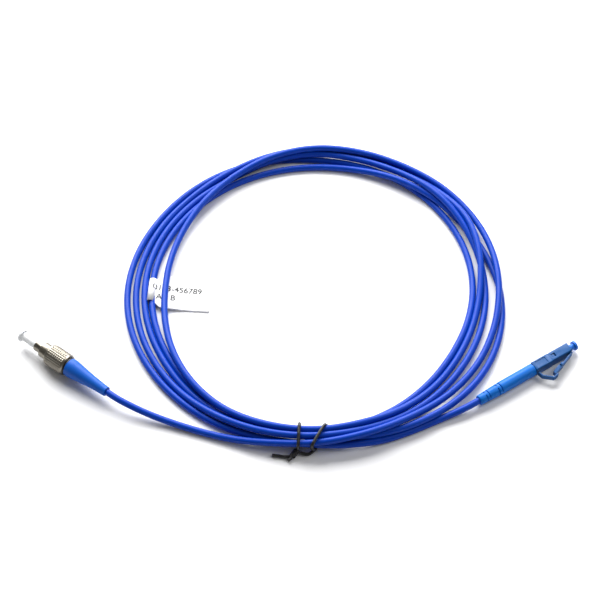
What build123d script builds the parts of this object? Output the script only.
"""Single-fibre patch cord, FC plug to LC plug, tied in a loose five-turn coil with both plugs capped.

Millimetres, +Z up, the cord lying on z = 0. Each plug is built along its own X axis, from the tip of its
ferrule towards its cord, and then laid on the table. The LC plug lies on its side, its latch pointing
sideways.
"""
import os
from math import atan2, cos, degrees, hypot, pi, radians, sin, tan

from build123d import *

# ---- cord and coil ----
CORD_D = 3.0                # jacket of the cord
COIL_CENTRE = (7.6, 0.0)    # middle of the coil
COIL_HEIGHT = 5.8           # two layers of cord, one lying in the other's gaps
COIL_EDGE = 1.2             # rounding along the coil's edges
# outer and inner radius of the coil at each of twelve clock stations, from 3 o'clock round by 12
COIL_OUTER = (86.4, 88.0, 88.0, 87.8, 87.0, 86.2, 86.8, 86.2, 85.4, 85.2, 87.4, 88.2)
COIL_INNER = (70.2, 73.6, 77.6, 75.4, 74.0, 69.6, 66.4, 70.4, 75.0, 75.8, 71.2, 68.0)

# ---- FC plug ----
FC_TIP = (-117.0, -31.4)    # tip of the ferrule
FC_TURN = -37.4             # heading of the plug's axis, front to cord
FC_FERRULE_D = 2.5
FC_FERRULE_LEN = 9.0
FC_PROTRUSION = 2.5         # ferrule tip ahead of the frame's skirt
FC_SKIRT_D = 5.0
FC_SKIRT_BORE = 4.3
FC_SKIRT_LEN = 3.8
FC_COLLAR_D = 7.1
FC_SEAT_WALL = 0.7          # shoulder that stops the ferrule flange
FC_HUB_LEN = 5.1            # rear of the frame, where the nut's lip runs
FC_CHAMBER_D = 4.9          # bore that holds the ferrule flange and its spring
FC_KEY_WIDTH = 2.0
FC_KEY_TOP = 3.35           # height of the key above the axis
FC_KEY_LEN = 3.0
FC_FLANGE_LEN = 2.3
FC_STEM_D = 3.3
FC_STEM_LEN = 3.3
FC_FIBRE_X = 3.0            # end of the buffer inside the ferrule
FC_SPRING_WIRE = 0.4
FC_SPRING_LEN = 4.7
FC_SPRING_TURNS = 4
FC_NUT_D = 10.0
FC_NUT_LEN = 10.7
FC_NUT_SETBACK = 7.9        # skirt front to nut front, nut drawn back
FC_NUT_TRAVEL = 7.8
FC_NUT_LIP = 1.2
FC_NUT_EDGE = 0.4           # bevel at both ends
FC_THREAD_MINOR_D = 7.2     # M8 x 0.75
FC_THREAD_MAJOR_D = 8.0
FC_THREAD_PITCH = 0.75
FC_THREAD_TURNS = 6
FC_HUB_D = 6.0              # where the nut turns
FC_RING_D = 8.0
FC_RING_LEN = 0.8
FC_BOOT_D = 8.3
FC_BOOT_TAIL_D = 4.4
FC_BOOT_LEN = 21.7
FC_BOOT_FULL = 2.2          # front at full width
FC_CRIMP_STEM_D = 3.6
FC_CRIMP_STEM_LEN = 6.1
FC_CRIMP_WALL = 0.35
FC_CAP_FLANGE_D = 5.8
FC_CAP_FLANGE_LEN = 1.0
FC_CAP_BARREL_D = 4.0
FC_CAP_OVERHANG = 6.5       # cap front ahead of the ferrule tip
FC_CAP_END = 3.0            # solid end of the cap
FC_CAP_REACH = 6.0          # cap rim behind the ferrule tip

# ---- LC plug ----
LC_TIP = (121.2, -32.2)
LC_TURN = -146.5
LC_TABLE_GAP = 0.1          # widest part above the table
LC_FERRULE_D = 1.25
LC_FERRULE_LEN = 6.6
LC_PROTRUSION = 2.2
LC_WIDTH = 4.5              # square front housing
LC_FRONT_LEN = 11.1
LC_CAVITY_D = 3.2           # adapter sleeve enters here
LC_CAVITY_LEN = 2.7
LC_SHOULDER_LEN = 0.7
LC_SHOULDER_BORE = 1.7
LC_FLANGE_D = 2.9
LC_FLANGE_LEN = 1.8
LC_STEM_D = 1.9
LC_STEM_LEN = 3.0
LC_SPRING_WIRE = 0.28
LC_SPRING_LEN = 2.5
LC_SPRING_TURNS = 4
LC_REAR_PROUD = 0.1         # rear housing stands proud of the front one
LC_REAR_LEN = 8.8
LC_REAR_BORE = 3.6          # holds the stop body
LC_REAR_WEB = 1.7           # wall between the nose and the stop body
LC_GUIDE_LEN = 2.4          # bore of the nose, where the flange's stem slides
LC_PANEL_RIM = 0.5          # border round the pocketed panel on each side
LC_PANEL_DEPTH = 0.2
LC_CORNER = 0.3             # bevel along the housings
LC_WINDOW = (2.0, 1.8)      # snap windows in the front housing, along and across
LC_WINDOW_MARGIN = 1.1      # window to the seam
LC_BOOT_GAP = 0.3
LC_BOOT_D = 5.6
LC_BOOT_TAIL_D = 4.5
LC_BOOT_LEN = 29.7
LC_BOOT_STRAIGHT = 16.3     # full width before the taper
LC_BOOT_SLOT = 0.45
LC_BOOT_SLOT_DEPTH = 0.35   # at the tail
LC_BOOT_SLOTS = (3.5, 5.0, 9.9, 11.5)    # slots, measured from the tail
LC_BOOT_WEB = 1.1
LC_CRIMP_STEM_D = 2.6
LC_CRIMP_STEM_LEN = 5.4
LC_CRIMP_WALL = 0.3
LC_LATCH_ROOT = (3.0, 0.5)               # hinge of the latch: along, and out from the front housing
LC_LATCH_TIP = (15.9, 5.2)
LC_LATCH_WIDTH = 2.4
LC_LATCH_THICK = 0.75
LC_SHOULDER_AT = (7.4, 8.8)              # catch shoulders along the latch
LC_SHOULDER_WIDTH = 3.9
LC_SHOULDER_DROP = 0.45     # towards the housing
LC_LEVER_DROP = 0.8
LC_TRIGGER_ROOT = (21.6, 0.6)            # along, and out from the rear housing
LC_TRIGGER_KNEE = (21.3, 3.0)
LC_TRIGGER_TIP = (17.75, 6.45)
LC_TRIGGER_WIDTH = 2.3
LC_TRIGGER_THICK = 0.7
LC_TRIGGER_PAD = (2.5, 0.55)              # over the latch: forward, and down
LC_CAP_FLANGE_D = 4.4
LC_CAP_FLANGE_LEN = 1.0
LC_CAP_BARREL_D = 2.8
LC_CAP_OVERHANG = 1.4
LC_CAP_END = 1.1
LC_CAP_REACH = 3.8

# ---- shared by both plugs ----
BUFFER_D = 0.9              # tight-buffered fibre
GLASS_D = 0.125             # its glass, left open
FIBRE_GAP = 0.15            # radial gap of the buffer in the stop body, and of a flange's stem in its guide
SLIDE_GAP = 0.05            # radial gap where one piece runs on another
PULL_GAP = 0.02             # radial gap of a dust cap on its ferrule
FREE_GAP = 0.1              # gap where nothing may touch
YARN = 0.2                  # aramid yarn under a crimp sleeve
JACKET_SETBACK = 0.5        # crimp stem to the cut end of the jacket
NECK_GRIP = 4.0             # length of jacket that a crimp sleeve grips

# ---- label and tie ----
LABEL_STATION = 74.2        # radius of the turn that carries the label
LABEL_LEN = 27.0
LABEL_WIDTH = 18.5
LABEL_THICK = 0.4           # two plies stuck together
LABEL_Z = 1.9
LABEL_TURN = -4.0
LABEL_CORNER = 4.0
TIE_WIDTH = 1.4
TIE_THICK = 0.8
TIE_XS = (0.2, 9.4)         # the two wraps
TIE_LEANS = (0.0, 14.0)
TIE_WIRE = 0.7
TIE_KNOT_D = 2.2
TIE_KNOT_LEN = 2.6
TIE_ENDS = ((10.5, 186.0), (3.4, 215.0))    # the two loose ends: length and direction

# ---- routes of the two tails, from the straight lead out of the boot to inside the coil ----
FC_LEAD = 8.0               # straight run out of each boot, along its axis
LC_LEAD = 7.0
FC_ROUTE = ((-62.0, -68.8, 4.0), (-43.0, -75.4, 3.1), (-24.0, -80.6, 2.9), (-9.0, -82.2, 2.9))
LC_ROUTE = ((60.5, -69.6, 2.7), (48.5, -74.4, 2.9), (35.5, -78.6, 2.9))


def turned(points):
    """A solid of revolution about X from a closed outline of (x, radius) points."""
    return revolve(make_face(Polyline(*points, close=True)), Axis.X)


def sleeve(x0, x1, outer_d, inner_d):
    """A plain tube along X."""
    return turned([(x0, inner_d / 2), (x1, inner_d / 2), (x1, outer_d / 2), (x0, outer_d / 2)])


def block(x0, x1, y0, y1, z0, z1):
    """A box between two corners."""
    return Pos((x0 + x1) / 2, (y0 + y1) / 2, (z0 + z1) / 2) * Box(x1 - x0, y1 - y0, z1 - z0)


def helix_spring(x0, x1, outer_d, wire, turns):
    """An open coil spring along X, its wire just clear of both end planes."""
    end = wire / 2 + 0.02
    length = x1 - x0 - 2 * end
    path = Helix(length / turns, length, (outer_d - wire) / 2)
    coil = sweep(Plane(path @ 0, z_dir=path % 0) * Circle(wire / 2), path=path)
    return Pos(x0 + end, 0, 0) * (Rot(0, 90, 0) * coil)


def strip(root, tip, thick, width):
    """A flat arm between two points of the XY plane, rounded at both ends, centred on Z."""
    length = hypot(tip[0] - root[0], tip[1] - root[1])
    arm = Pos(length / 2, 0, 0) * Box(length, thick, width)
    for x in (0, length):
        arm += Pos(x, 0, 0) * Cylinder(thick / 2, width)
    turn = degrees(atan2(tip[1] - root[1], tip[0] - root[0]))
    return Pos(root[0], root[1], 0) * (Rot(0, 0, turn) * arm)


def clock_points(radii):
    """Points round the coil's centre, one at each clock station."""
    step = 2 * pi / len(radii)
    return [
        (COIL_CENTRE[0] + r * cos(i * step), COIL_CENTRE[1] + r * sin(i * step))
        for i, r in enumerate(radii)
    ]


def cord_tube(points, name):
    """A tube along straight runs joined by arcs as large as the runs allow."""
    path_points = [Vector(*p) for p in points]
    runs = [b - a for a, b in zip(path_points, path_points[1:])]
    radii = []
    for before, after in zip(runs, runs[1:]):
        half_turn = radians(before.get_angle(after)) / 2
        radii.append(0.45 * min(before.length, after.length) / tan(half_turn))
    path = FilletPolyline(*path_points, radius=radii)
    tube = sweep(Plane(path @ 0, z_dir=path % 0) * Circle(CORD_D / 2), path=path)
    section = pi * CORD_D**2 / 4
    print(name, "length", round(path.length, 2), "radii", [round(r, 1) for r in radii])
    print(name, "volume", round(tube.volume, 2), "section x length", round(section * path.length, 2))
    return tube


# ---- stations along the FC plug, from the tip of its ferrule ----
FC_AXIS_Z = FC_NUT_D / 2 + SLIDE_GAP    # the coupling nut lies on the table
FC_SKIRT_X = FC_PROTRUSION
FC_COLLAR_X = FC_SKIRT_X + FC_SKIRT_LEN
FC_NUT_X = FC_SKIRT_X + FC_NUT_SETBACK
FC_NUT_END = FC_NUT_X + FC_NUT_LEN
FC_COLLAR_END = FC_NUT_END - FC_NUT_LIP - FC_NUT_TRAVEL - 2 * FREE_GAP    # stops the nut's lip
FC_SEAT_X = FC_COLLAR_X + FC_SEAT_WALL
FC_FLANGE_END = FC_SEAT_X + FC_FLANGE_LEN
FC_STEM_END = FC_FLANGE_END + FC_STEM_LEN
FC_HUB_END = FC_COLLAR_END + FC_HUB_LEN
FC_NOSE_X = FC_FLANGE_END + FC_SPRING_LEN     # nose of the stop body, screwed into the frame
FC_RING_X = FC_NUT_END + FREE_GAP / 2
FC_RING_END = FC_RING_X + FC_RING_LEN - FREE_GAP
FC_BOOT_X = FC_NUT_END + FC_RING_LEN
FC_CRIMP_END = FC_BOOT_X + FC_CRIMP_STEM_LEN
FC_JACKET_X = FC_CRIMP_END + JACKET_SETBACK
FC_SLEEVE_END = FC_JACKET_X + NECK_GRIP
FC_TAIL_X = FC_BOOT_X + FC_BOOT_LEN
FC_SLEEVE_BORE = FC_CRIMP_STEM_D + 2 * YARN
FC_SLEEVE_D = FC_SLEEVE_BORE + 2 * FC_CRIMP_WALL
FC_NECK_D = CORD_D + 2 * FC_CRIMP_WALL


def fc_ferrule():
    r = FC_FERRULE_D / 2
    bore = BUFFER_D / 2 + PULL_GAP
    return turned([
        (0, 0), (0, r - 0.4), (0.4, r), (FC_FERRULE_LEN, r), (FC_FERRULE_LEN, bore), (FC_FIBRE_X, bore),
        (FC_FIBRE_X, 0),
    ])


def fc_ferrule_flange():
    hole = FC_FERRULE_D / 2
    rim = FC_CHAMBER_D / 2 - FREE_GAP
    bore = BUFFER_D / 2 + SLIDE_GAP
    return turned([
        (FC_SEAT_X, hole), (FC_SEAT_X, rim), (FC_FLANGE_END, rim), (FC_FLANGE_END, FC_STEM_D / 2),
        (FC_STEM_END, FC_STEM_D / 2), (FC_STEM_END, bore), (FC_FERRULE_LEN, bore), (FC_FERRULE_LEN, hole),
    ])


def fc_frame():
    skirt, bore, collar = FC_SKIRT_D / 2, FC_SKIRT_BORE / 2, FC_COLLAR_D / 2
    chamber, hub = FC_CHAMBER_D / 2, FC_HUB_D / 2
    body = turned([
        (FC_SKIRT_X, bore), (FC_SKIRT_X, skirt - 0.2), (FC_SKIRT_X + 0.2, skirt), (FC_COLLAR_X, skirt),
        (FC_COLLAR_X, collar - 0.3), (FC_COLLAR_X + 0.3, collar), (FC_COLLAR_END, collar),
        (FC_COLLAR_END, hub), (FC_HUB_END, hub), (FC_HUB_END, chamber), (FC_SEAT_X, chamber),
        (FC_SEAT_X, bore),
    ])
    half = FC_KEY_WIDTH / 2
    key = block(FC_COLLAR_X - FC_KEY_LEN, FC_COLLAR_X + 0.6, -half, half, bore + 0.15, FC_KEY_TOP)
    return body + key


def fc_stop_body():
    nose, hub, stem = FC_CHAMBER_D / 2, FC_HUB_D / 2, FC_CRIMP_STEM_D / 2
    guide = FC_STEM_D / 2 + FIBRE_GAP
    bore = BUFFER_D / 2 + FIBRE_GAP
    return turned([
        (FC_NOSE_X, guide), (FC_NOSE_X, nose), (FC_HUB_END, nose), (FC_HUB_END, hub), (FC_BOOT_X, hub),
        (FC_BOOT_X, stem), (FC_CRIMP_END, stem), (FC_CRIMP_END, bore), (FC_HUB_END, bore),
        (FC_HUB_END, guide),
    ])


def fc_coupling_nut():
    """Coupling nut: thread in front, a clear bore, and a lip that runs on the hub."""
    minor, major = FC_THREAD_MINOR_D / 2, FC_THREAD_MAJOR_D / 2
    outer, lip = FC_NUT_D / 2, FC_HUB_D / 2 + SLIDE_GAP
    thread_end = FC_NUT_X + FC_NUT_EDGE + FC_THREAD_TURNS * FC_THREAD_PITCH
    relief = major + FREE_GAP
    points = [
        (FC_NUT_X, minor), (FC_NUT_X, outer - FC_NUT_EDGE), (FC_NUT_X + FC_NUT_EDGE, outer),
        (FC_NUT_END - FC_NUT_EDGE, outer), (FC_NUT_END, outer - FC_NUT_EDGE), (FC_NUT_END, lip),
        (FC_NUT_END - FC_NUT_LIP, lip), (FC_NUT_END - FC_NUT_LIP, relief), (thread_end, relief),
        (thread_end, minor),
    ]
    for i in reversed(range(FC_THREAD_TURNS)):
        crest = FC_NUT_X + FC_NUT_EDGE + i * FC_THREAD_PITCH
        points += [(crest + 0.7 * FC_THREAD_PITCH, minor), (crest + 0.4 * FC_THREAD_PITCH, major),
                   (crest + 0.1 * FC_THREAD_PITCH, minor)]
    return turned(points)


def fc_boot():
    """Soft strain relief: a full front, then a hollow taper down to the cord."""
    outer, tail, cord = FC_BOOT_D / 2, FC_BOOT_TAIL_D / 2, CORD_D / 2
    step = FC_JACKET_X + FC_CRIMP_WALL
    taper = Spline(
        (FC_BOOT_X + FC_BOOT_FULL, outer), (FC_BOOT_X + 0.41 * FC_BOOT_LEN, 0.42 * tail + 0.58 * outer),
        (FC_BOOT_X + 0.69 * FC_BOOT_LEN, 0.8 * tail + 0.2 * outer), (FC_TAIL_X, tail),
        tangents=[(1, -0.02), (1, -0.03)],
    )
    outline = Polyline(
        (FC_TAIL_X, tail), (FC_TAIL_X, cord), (FC_SLEEVE_END, cord), (FC_SLEEVE_END, FC_NECK_D / 2),
        (step, FC_NECK_D / 2), (step, FC_SLEEVE_D / 2), (FC_BOOT_X, FC_SLEEVE_D / 2),
        (FC_BOOT_X, outer - 0.3), (FC_BOOT_X + 0.3, outer), (FC_BOOT_X + FC_BOOT_FULL, outer),
    )
    return revolve(make_face([taper, outline]), Axis.X)


def crimp_sleeve(x0, jacket_x, end, bore_d, wall):
    """Drawn sleeve: wide over the stem and its yarn, then a neck that grips the jacket."""
    step = jacket_x + wall
    body = sleeve(x0, step, bore_d + 2 * wall, 0.0) + sleeve(step, end, CORD_D + 2 * wall, 0.0)
    body -= sleeve(x0, jacket_x, bore_d, 0.0)
    return body - sleeve(jacket_x, end, CORD_D, 0.0)


def dust_cap(front, flange_d, flange_len, barrel_d, end, rim, ferrule_d):
    """A moulded cap: flat flange in front, a barrel that slips over the ferrule."""
    bore = ferrule_d / 2 + PULL_GAP
    outer, barrel = flange_d / 2, barrel_d / 2
    return turned([
        (front, 0), (front, outer - 0.2), (front + 0.2, outer), (front + flange_len - 0.2, outer),
        (front + flange_len, outer - 0.2), (front + flange_len, barrel), (rim - 0.2, barrel),
        (rim, barrel - 0.2), (rim, bore), (front + end, bore), (front + end, 0),
    ])


def fc_parts():
    return {
        "fc_dust_cap": dust_cap(-FC_CAP_OVERHANG, FC_CAP_FLANGE_D, FC_CAP_FLANGE_LEN, FC_CAP_BARREL_D,
                                FC_CAP_END, FC_CAP_REACH, FC_FERRULE_D),
        "fc_ferrule": fc_ferrule(),
        "fc_ferrule_flange": fc_ferrule_flange(),
        "fc_spring": helix_spring(FC_FLANGE_END, FC_NOSE_X, FC_CHAMBER_D - 0.5, FC_SPRING_WIRE,
                                  FC_SPRING_TURNS),
        "fc_frame": fc_frame(),
        "fc_coupling_nut": fc_coupling_nut(),
        "fc_nut_ring": sleeve(FC_RING_X, FC_RING_END, FC_RING_D, FC_HUB_D + 2 * SLIDE_GAP),
        "fc_stop_body": fc_stop_body(),
        "fc_aramid_yarn": sleeve(FC_BOOT_X + FREE_GAP, FC_CRIMP_END, FC_SLEEVE_BORE, FC_CRIMP_STEM_D),
        "fc_crimp_sleeve": crimp_sleeve(FC_BOOT_X + FREE_GAP, FC_JACKET_X, FC_SLEEVE_END, FC_SLEEVE_BORE,
                                        FC_CRIMP_WALL),
        "fc_boot": fc_boot(),
        "fc_fibre": sleeve(FC_FIBRE_X + FREE_GAP, FC_JACKET_X, BUFFER_D, GLASS_D),
        "cord_fc_end": sleeve(FC_JACKET_X, FC_TAIL_X, CORD_D, 0.0),
    }


# ---- stations along the LC plug, from the tip of its ferrule ----
LC_REAR_WIDTH = LC_WIDTH + 2 * LC_REAR_PROUD
LC_AXIS_Z = max(LC_REAR_WIDTH, LC_BOOT_D) / 2 + LC_TABLE_GAP
LC_FRONT_X = LC_PROTRUSION
LC_SEAM_X = LC_FRONT_X + LC_FRONT_LEN
LC_REAR_END = LC_SEAM_X + LC_REAR_LEN
LC_CAVITY_END = LC_FRONT_X + LC_CAVITY_LEN
LC_SEAT_X = LC_CAVITY_END + LC_SHOULDER_LEN
LC_FLANGE_END = LC_SEAT_X + LC_FLANGE_LEN
LC_STEM_END = LC_FLANGE_END + LC_STEM_LEN
LC_NOSE_X = LC_FLANGE_END + LC_SPRING_LEN
LC_STOP_X = LC_SEAM_X + LC_REAR_WEB
LC_BOOT_X = LC_REAR_END + LC_BOOT_GAP
LC_CRIMP_END = LC_BOOT_X + LC_CRIMP_STEM_LEN
LC_JACKET_X = LC_CRIMP_END + JACKET_SETBACK
LC_SLEEVE_END = LC_JACKET_X + NECK_GRIP
LC_TAIL_X = LC_BOOT_X + LC_BOOT_LEN
LC_SLEEVE_BORE = LC_CRIMP_STEM_D + 2 * YARN
LC_SLEEVE_D = max(LC_SLEEVE_BORE, CORD_D) + 2 * LC_CRIMP_WALL


def lc_ferrule_flange():
    hole, rim, stem = LC_FERRULE_D / 2, LC_FLANGE_D / 2, LC_STEM_D / 2
    bore = BUFFER_D / 2 + PULL_GAP
    return turned([
        (LC_SEAT_X, hole), (LC_SEAT_X, rim), (LC_FLANGE_END, rim), (LC_FLANGE_END, stem),
        (LC_STEM_END, stem), (LC_STEM_END, bore), (LC_FERRULE_LEN, bore), (LC_FERRULE_LEN, hole),
    ])


def lc_ferrule():
    r = LC_FERRULE_D / 2
    return turned([(0, 0), (0, r - 0.2), (0.2, r), (LC_FERRULE_LEN, r), (LC_FERRULE_LEN, 0)])


def window_span():
    """Where the snap windows lie along the front housing."""
    end = LC_SEAM_X - LC_WINDOW_MARGIN
    return end - LC_WINDOW[0], end


def lc_front_housing():
    half, chamber = LC_WIDTH / 2, LC_CAVITY_D / 2
    body = block(LC_FRONT_X, LC_SEAM_X, -half, half, -half, half)
    body = chamfer(body.edges().filter_by(Axis.X), LC_CORNER)
    body -= sleeve(LC_FRONT_X, LC_CAVITY_END, LC_CAVITY_D, 0.0)
    body -= sleeve(LC_CAVITY_END, LC_SEAT_X, LC_SHOULDER_BORE, 0.0)
    body -= sleeve(LC_SEAT_X, LC_SEAM_X, LC_CAVITY_D, 0.0)
    x0, x1 = window_span()
    across = LC_WINDOW[1] / 2
    body -= block(x0, x1, -across, across, chamber / 2, half)
    body -= block(x0, x1, -across, across, -half, -chamber / 2)
    return body


def lc_rear_housing():
    """Square shell with a round nose that snaps into the front housing, and a raised panel on its sides."""
    half, nose = LC_REAR_WIDTH / 2, LC_CAVITY_D / 2
    body = block(LC_SEAM_X, LC_REAR_END, -half, half, -half, half)
    body = chamfer(body.edges().filter_by(Axis.X), LC_CORNER)
    across = half - LC_PANEL_RIM - LC_CORNER
    for z in (half, LC_PANEL_DEPTH - half):
        body -= block(LC_SEAM_X + 4 * LC_PANEL_RIM, LC_REAR_END - 3 * LC_PANEL_RIM, -across, across,
                      z - LC_PANEL_DEPTH, z)
    body += sleeve(LC_NOSE_X, LC_SEAM_X, LC_CAVITY_D, 0.0)
    x0, x1 = window_span()
    across = LC_WINDOW[1] / 2 - SLIDE_GAP
    lug = block(x0 + LC_WINDOW[0] / 3, x1 - SLIDE_GAP, -across, across, 0, LC_WIDTH / 2 - LC_CORNER)
    body += lug
    body += Rot(180, 0, 0) * lug
    body -= sleeve(LC_NOSE_X, LC_NOSE_X + LC_GUIDE_LEN, LC_STEM_D + 2 * FIBRE_GAP, 0.0)
    body -= sleeve(LC_NOSE_X, LC_STOP_X, BUFFER_D + 2 * FIBRE_GAP, 0.0)
    body -= sleeve(LC_STOP_X, LC_REAR_END, LC_REAR_BORE, 0.0)
    return body


def outward(width, place):
    """A point measured out from the face of a housing of that width."""
    return place[0], width / 2 + place[1]


def lc_latch():
    """A springy arm from the front of the housing, with catch shoulders and a thicker lever behind them."""
    root, tip = outward(LC_WIDTH, LC_LATCH_ROOT), outward(LC_WIDTH, LC_LATCH_TIP)
    arm = strip(root, tip, LC_LATCH_THICK, LC_LATCH_WIDTH)
    turn = degrees(atan2(tip[1] - root[1], tip[0] - root[0]))
    x0, x1 = LC_SHOULDER_AT
    half = LC_SHOULDER_WIDTH / 2
    shoulder = block(x0, x1, -LC_LATCH_THICK / 2 - LC_SHOULDER_DROP, LC_LATCH_THICK / 2, -half, half)
    lever = block(x1, hypot(tip[0] - root[0], tip[1] - root[1]), -LC_LATCH_THICK / 2 - LC_LEVER_DROP,
                  LC_LATCH_THICK / 2, -LC_LATCH_WIDTH / 2, LC_LATCH_WIDTH / 2)
    return arm + Pos(root[0], root[1], 0) * (Rot(0, 0, turn) * (shoulder + lever))


def lc_trigger():
    """A springy arm that leaves the rear housing outwards and bends forward over the end of the latch."""
    bends = [outward(LC_REAR_WIDTH, place) for place in (LC_TRIGGER_ROOT, LC_TRIGGER_KNEE, LC_TRIGGER_TIP)]
    forward, down = LC_TRIGGER_PAD
    bends.append((bends[-1][0] - forward, bends[-1][1] - down))
    arm = strip(bends[0], bends[1], LC_TRIGGER_THICK, LC_TRIGGER_WIDTH)
    for start, end in zip(bends[1:], bends[2:]):
        arm += strip(start, end, LC_TRIGGER_THICK, LC_TRIGGER_WIDTH)
    return arm


def lc_stop_body():
    body, stem = LC_REAR_BORE / 2, LC_CRIMP_STEM_D / 2
    bore = BUFFER_D / 2 + FIBRE_GAP
    return turned([
        (LC_STOP_X, bore), (LC_STOP_X, body), (LC_REAR_END, body), (LC_REAR_END, stem),
        (LC_CRIMP_END, stem), (LC_CRIMP_END, bore),
    ])


def lc_boot():
    outer, tail, sleeve_r, cord = LC_BOOT_D / 2, LC_BOOT_TAIL_D / 2, LC_SLEEVE_D / 2, CORD_D / 2
    boot = turned([
        (LC_BOOT_X, sleeve_r), (LC_BOOT_X, outer - 0.25), (LC_BOOT_X + 0.25, outer),
        (LC_BOOT_X + LC_BOOT_STRAIGHT, outer), (LC_TAIL_X - 0.3, tail), (LC_TAIL_X, tail - 0.2),
        (LC_TAIL_X, cord), (LC_SLEEVE_END, cord), (LC_SLEEVE_END, sleeve_r),
    ])
    for i, from_tail in enumerate(LC_BOOT_SLOTS):
        x = LC_TAIL_X - from_tail
        slot = sleeve(x, x + LC_BOOT_SLOT, LC_BOOT_D + 1, LC_BOOT_TAIL_D - 2 * LC_BOOT_SLOT_DEPTH)
        web = Box(3, LC_BOOT_D + 2, LC_BOOT_WEB) if i % 2 else Box(3, LC_BOOT_WEB, LC_BOOT_D + 2)
        boot -= slot - Pos(x, 0, 0) * web
    return boot


def lc_parts():
    yarn_x = LC_BOOT_X + FREE_GAP
    return {
        "lc_dust_cap": dust_cap(-LC_CAP_OVERHANG, LC_CAP_FLANGE_D, LC_CAP_FLANGE_LEN, LC_CAP_BARREL_D,
                                LC_CAP_END, LC_CAP_REACH, LC_FERRULE_D),
        "lc_ferrule": lc_ferrule(),
        "lc_ferrule_flange": lc_ferrule_flange(),
        "lc_spring": helix_spring(LC_FLANGE_END, LC_NOSE_X, LC_CAVITY_D - 0.5, LC_SPRING_WIRE,
                                  LC_SPRING_TURNS),
        "lc_front_housing": lc_front_housing(),
        "lc_latch": lc_latch(),
        "lc_rear_housing": lc_rear_housing(),
        "lc_trigger": lc_trigger(),
        "lc_stop_body": lc_stop_body(),
        "lc_aramid_yarn": sleeve(yarn_x, LC_CRIMP_END, LC_SLEEVE_BORE, LC_CRIMP_STEM_D),
        "lc_crimp_sleeve": crimp_sleeve(yarn_x, LC_JACKET_X, LC_SLEEVE_END, LC_SLEEVE_BORE, LC_CRIMP_WALL),
        "lc_boot": lc_boot(),
        "lc_fibre": sleeve(LC_FERRULE_LEN + FREE_GAP, LC_JACKET_X, BUFFER_D, GLASS_D),
        "cord_lc_end": sleeve(LC_JACKET_X, LC_TAIL_X, CORD_D, 0.0),
    }


# ---- the two plugs on the table ----
FC_PLACE = Pos(FC_TIP[0], FC_TIP[1], FC_AXIS_Z) * Rot(0, 0, FC_TURN)
LC_PLACE = Pos(LC_TIP[0], LC_TIP[1], LC_AXIS_Z) * Rot(0, 0, LC_TURN)


def on_axis(tip, turn, height, x):
    """A point of a plug's axis, x behind the tip of its ferrule."""
    return (tip[0] + x * cos(radians(turn)), tip[1] + x * sin(radians(turn)), height)


def twist_tie():
    """Coated wire wound twice round the bundle, twisted in front, its two ends left long."""
    lo, hi = -(COIL_OUTER[9] + 0.3), -(COIL_INNER[9] - 0.9)
    top = COIL_HEIGHT + 0.1
    tie = None
    for x, lean in zip(TIE_XS, TIE_LEANS):
        wrap = block(-TIE_WIDTH / 2, TIE_WIDTH / 2, lo - TIE_THICK, hi + TIE_THICK, 0, top + TIE_THICK)
        wrap = fillet(wrap.edges().filter_by(Axis.X), 1.2)
        wrap -= block(-TIE_WIDTH, TIE_WIDTH, lo, hi, TIE_THICK, top)
        middle = (lo + hi) / 2
        wrap = Pos(x, middle, 0) * (Rot(0, 0, -lean) * (Pos(0, -middle, 0) * wrap))
        tie = wrap if tie is None else tie + wrap
    front = lo - TIE_THICK
    tie += block(TIE_XS[0], TIE_XS[1] - TIE_WIDTH / 2, front - 0.2, front + TIE_WIRE, 0.4, 0.4 + TIE_WIDTH)
    knot = Pos(TIE_XS[0] - TIE_KNOT_D / 4, front - TIE_WIRE / 2, 0)
    tie += knot * (Pos(0, 0, TIE_KNOT_LEN / 2 + 0.3) * Cylinder(TIE_KNOT_D / 2, TIE_KNOT_LEN))
    for reach, turn in TIE_ENDS:
        tail = Pos(reach / 2, 0, TIE_WIRE) * Box(reach, TIE_WIRE, TIE_WIRE)
        tie += knot * (Rot(0, 0, turn) * tail)
    return tie


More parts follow.
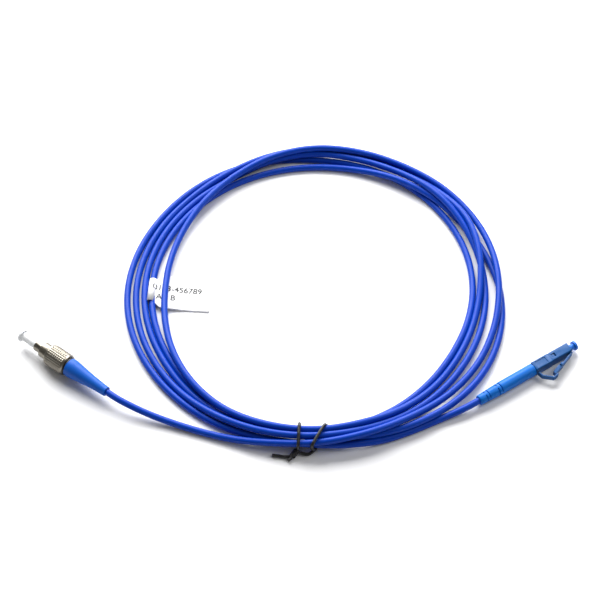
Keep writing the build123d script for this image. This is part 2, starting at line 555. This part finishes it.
def label():
    """Paper flag folded round one turn and stuck to itself, its corners cut at the fold."""
    fold_r = CORD_D / 2 + PULL_GAP
    half = LABEL_WIDTH / 2
    ply = LABEL_THICK / 2
    fold = Cylinder(fold_r + ply, LABEL_WIDTH - 2 * LABEL_CORNER) - Cylinder(fold_r, LABEL_WIDTH)
    barrel = Rot(90, 0, 0) * fold
    flag = make_face(Polyline(
        (fold_r, half - LABEL_CORNER), (fold_r + LABEL_CORNER, half), (LABEL_LEN, half), (LABEL_LEN, -half),
        (fold_r + LABEL_CORNER, -half), (fold_r, LABEL_CORNER - half), close=True,
    ))
    paper = barrel + Pos(0, 0, -ply) * extrude(flag, LABEL_THICK)
    return Pos(COIL_CENTRE[0] - LABEL_STATION, 0, LABEL_Z) * (Rot(0, 0, LABEL_TURN) * paper)


def cord_coil(cuts):
    """The outer shape of the five turns, open round the label, the tie and the two tails."""
    outer = make_face(Spline(*clock_points(COIL_OUTER), periodic=True))
    inner = make_face(Spline(*clock_points(COIL_INNER), periodic=True))
    ring = extrude(outer - inner, COIL_HEIGHT)
    edges = ring.edges().group_by(Axis.Z)
    ring = chamfer(edges[0] + edges[-1], COIL_EDGE)
    turn_x = COIL_CENTRE[0] - LABEL_STATION
    gap = LABEL_WIDTH / 2 + 0.9
    reach = CORD_D / 2 + 0.6
    ring -= block(turn_x - reach, turn_x + LABEL_STATION / 2, -gap, gap, -1, COIL_HEIGHT + 1)
    strand = Rot(90, 0, 0) * Cylinder(CORD_D / 2, 2 * gap + 1.0)
    ring += Pos(turn_x, 0, LABEL_Z) * (Rot(0, 0, LABEL_TURN) * strand)
    for cut in cuts:
        ring -= cut
    return ring


def cord_parts():
    fc_exit = [on_axis(FC_TIP, FC_TURN, FC_AXIS_Z, FC_TAIL_X + lead) for lead in (0, FC_LEAD)]
    lc_exit = [on_axis(LC_TIP, LC_TURN, LC_AXIS_Z, LC_TAIL_X + lead) for lead in (0, LC_LEAD)]
    fc_tail = cord_tube([*fc_exit, *FC_ROUTE], "cord_fc_tail")
    lc_tail = cord_tube([*lc_exit, *LC_ROUTE], "cord_lc_tail")
    tie = twist_tie()
    return {
        "cord_fc_tail": fc_tail,
        "cord_lc_tail": lc_tail,
        "twist_tie": tie,
        "label": label(),
        "cord_coil": cord_coil([fc_tail, lc_tail, tie]),
    }


os.makedirs("parts", exist_ok=True)
placed = {name: FC_PLACE * shape for name, shape in fc_parts().items()}
placed.update({name: LC_PLACE * shape for name, shape in lc_parts().items()})
placed.update(cord_parts())
for node, shape in placed.items():
    export_step(shape, f"parts/{node}.step")
